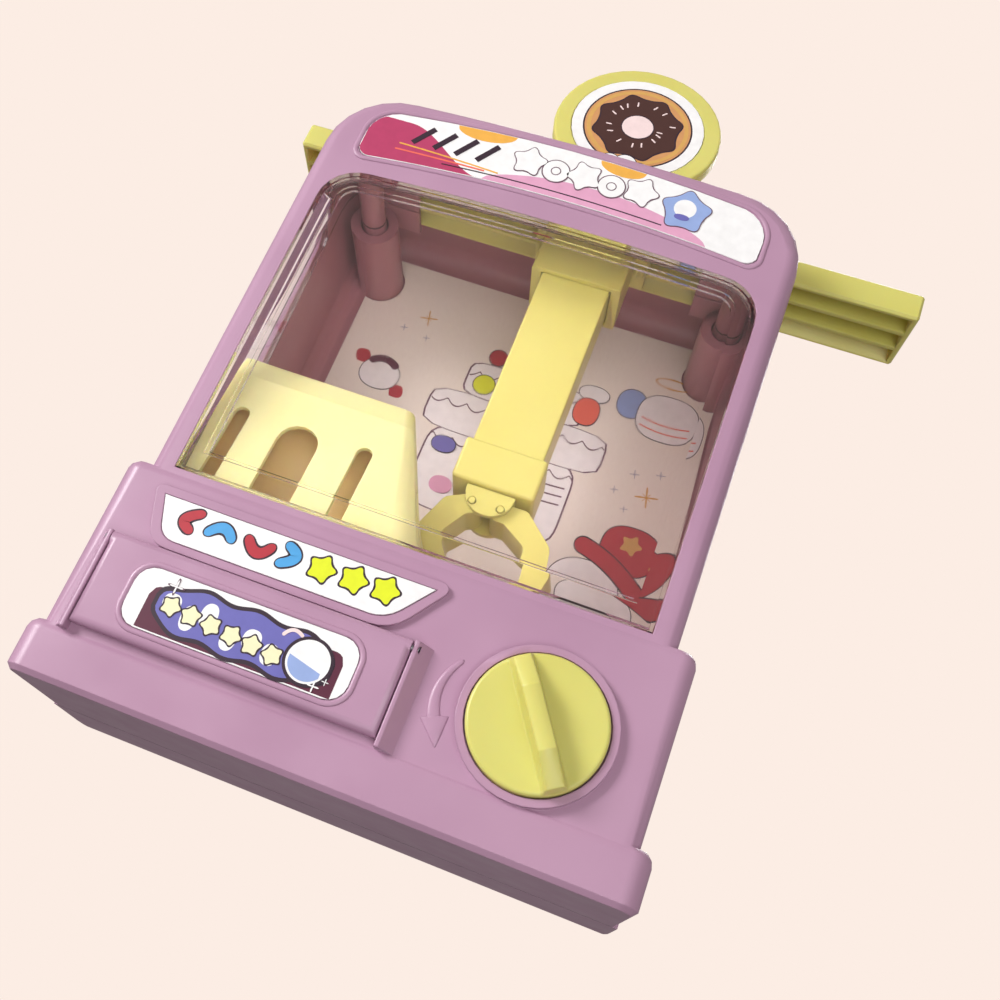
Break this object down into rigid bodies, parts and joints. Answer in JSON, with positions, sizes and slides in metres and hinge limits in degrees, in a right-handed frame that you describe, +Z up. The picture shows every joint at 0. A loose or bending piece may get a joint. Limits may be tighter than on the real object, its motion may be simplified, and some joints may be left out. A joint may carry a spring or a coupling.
{
  "type": "toy claw crane machine",
  "caption": "Hand-operated tabletop claw machine: two-shell cabinet, clear front, sliding crane bar with two-prong claw, fenced prize chute with flap door, and a turn knob dispenser.",
  "frame": {"origin": "on the underside of the plinth, on the middle plane, 40 mm behind the plinth's front", "axes": "+X to the viewer's right, +Y towards the back, +Z up"},
  "size_m": [0.217, 0.0948, 0.2868],
  "materials": {
    "lilac": "satin moulded ABS",
    "yellow": "satin moulded ABS",
    "clear": "clear polystyrene",
    "label": "printed film",
    "card": "printed card",
    "blue": "glossy",
    "steel": "zinc plated"
  },
  "bodies": {
    "cabinet": {"front_shell": "lilac", "rear_shell": "lilac", "clear_window": "clear", "side_window_left": "clear", "side_window_right": "clear", "header_label": "label", "control_label": "label", "topper_label": "label", "backdrop_card": "card", "topper_sign": "yellow", "play_deck": "lilac", "prize_fence": "yellow", "prize_chute": "yellow", "prize_ball": "blue", "door_pin": "steel", "dispenser_housing": "lilac", "shell_screw_upper_left": "steel", "shell_screw_upper_right": "steel", "shell_screw_lower_left": "steel", "shell_screw_lower_right": "steel"},
    "carriage": {"slide_bar": "yellow", "arm_collar": "yellow", "collar_screw_left": "yellow", "collar_screw_right": "yellow"},
    "lift_arm": {"claw_arm": "yellow", "claw_head": "yellow", "claw_hub": "yellow", "prong_pin_left": "yellow", "prong_pin_right": "yellow"},
    "left_prong": {"prong_left": "yellow"},
    "right_prong": {"prong_right": "yellow"},
    "door": {"prize_door": "lilac", "door_label": "label"},
    "knob": {"control_knob": "yellow", "dispenser_drum": "yellow", "shaft_clip": "steel"}
  },
  "joints": [
    {"name": "bar_slide", "type": "slide", "parent": "cabinet", "child": "carriage", "axis": [1, 0, 0], "range_m": [-0.04, 0.014]},
    {"name": "arm_lift", "type": "slide", "parent": "carriage", "child": "lift_arm", "axis": [0, 0, 1], "range_m": [0, 0.0145]},
    {"name": "prong_left_pivot", "type": "hinge", "parent": "lift_arm", "child": "left_prong", "pos_m": [0.0086, -0.002, 0.1012], "axis": [0, 1, 0], "range_deg": [0, 31]},
    {"name": "prong_right_pivot", "type": "hinge", "parent": "lift_arm", "child": "right_prong", "pos_m": [0.0178, -0.002, 0.1012], "axis": [0, 1, 0], "range_deg": [-5, 26]},
    {"name": "door_hinge", "type": "hinge", "parent": "cabinet", "child": "door", "pos_m": [-0.0297, -0.0412, 0.0427], "axis": [-1, 0, 0], "range_deg": [0, 75]},
    {"name": "knob_turn", "type": "hinge", "parent": "cabinet", "child": "knob", "pos_m": [0.0508, -0.04, 0.0354], "axis": [0, 1, 0], "continuous": true}
  ]
}
